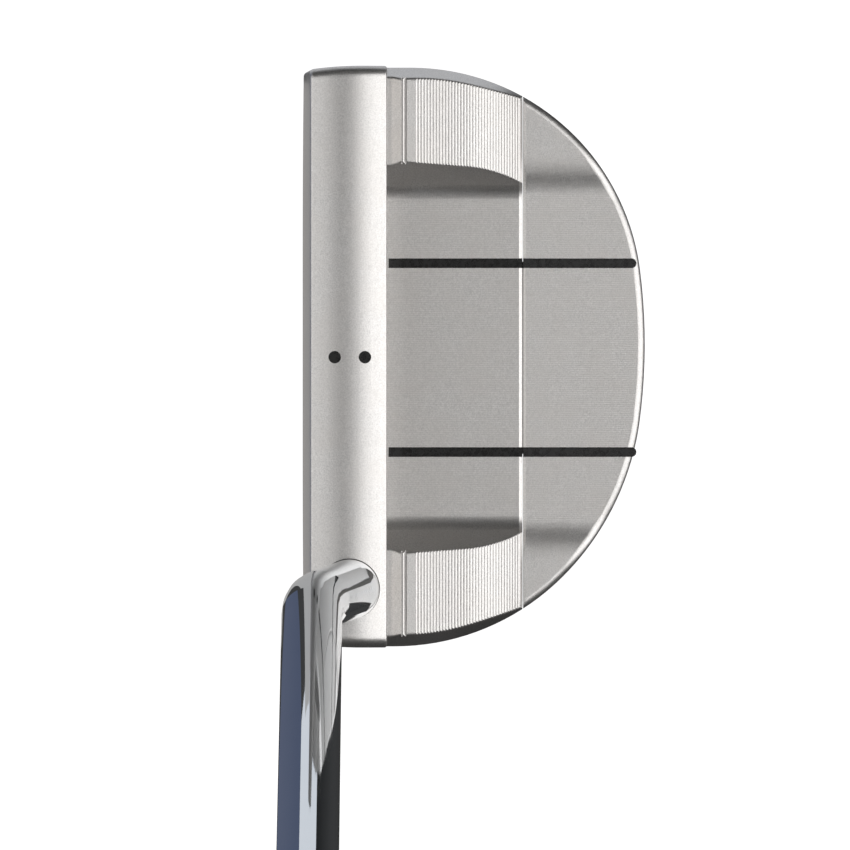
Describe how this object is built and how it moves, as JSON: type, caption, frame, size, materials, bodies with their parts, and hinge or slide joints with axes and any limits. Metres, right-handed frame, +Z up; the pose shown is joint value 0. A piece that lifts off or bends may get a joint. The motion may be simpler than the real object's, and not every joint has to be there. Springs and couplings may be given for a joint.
{
  "type": "mallet putter",
  "caption": "Right-handed mallet putter: milled metal head with a raised front bar and grooved cheeks, double-bend steel shaft, flat-front rubber grip.",
  "frame": {"origin": "centre of the flat pad of the sole, on the ground, 20 mm behind the leading edge of the face", "axes": "+X from toe to heel, towards the player; +Y from the striking face to the rear, so the target is along -Y; +Z up along the shaft's vertical component"},
  "size_m": [0.377, 0.0677, 0.8144],
  "materials": {
    "head_metal": "satin, fine bead blast over milled stainless steel",
    "screw_steel": "turned steel with a dark oxide",
    "black_paint": "baked enamel paint filled into machined recesses",
    "weight_metal": "turned, satin",
    "washer_plastic": "matte",
    "epoxy": "cured, semi-gloss",
    "shaft_chrome": "polished chrome plating on steel tube",
    "tape": "matte double-sided tape",
    "grip_rubber": "matte moulded rubber"
  },
  "bodies": {
    "root": {"front_body": "head_metal", "rear_body": "head_metal", "body_screws": "screw_steel", "toe_sight_line": "black_paint", "heel_sight_line": "black_paint", "front_dot": "black_paint", "rear_dot": "black_paint", "toe_weight": "weight_metal", "heel_weight": "weight_metal", "toe_weight_screw": "screw_steel", "heel_weight_screw": "screw_steel", "toe_weight_washer": "washer_plastic", "heel_weight_washer": "washer_plastic", "hosel_epoxy": "epoxy", "shaft": "shaft_chrome", "grip_tape": "tape", "grip_sleeve": "grip_rubber", "grip_cap": "grip_rubber"}
  },
  "joints": []
}
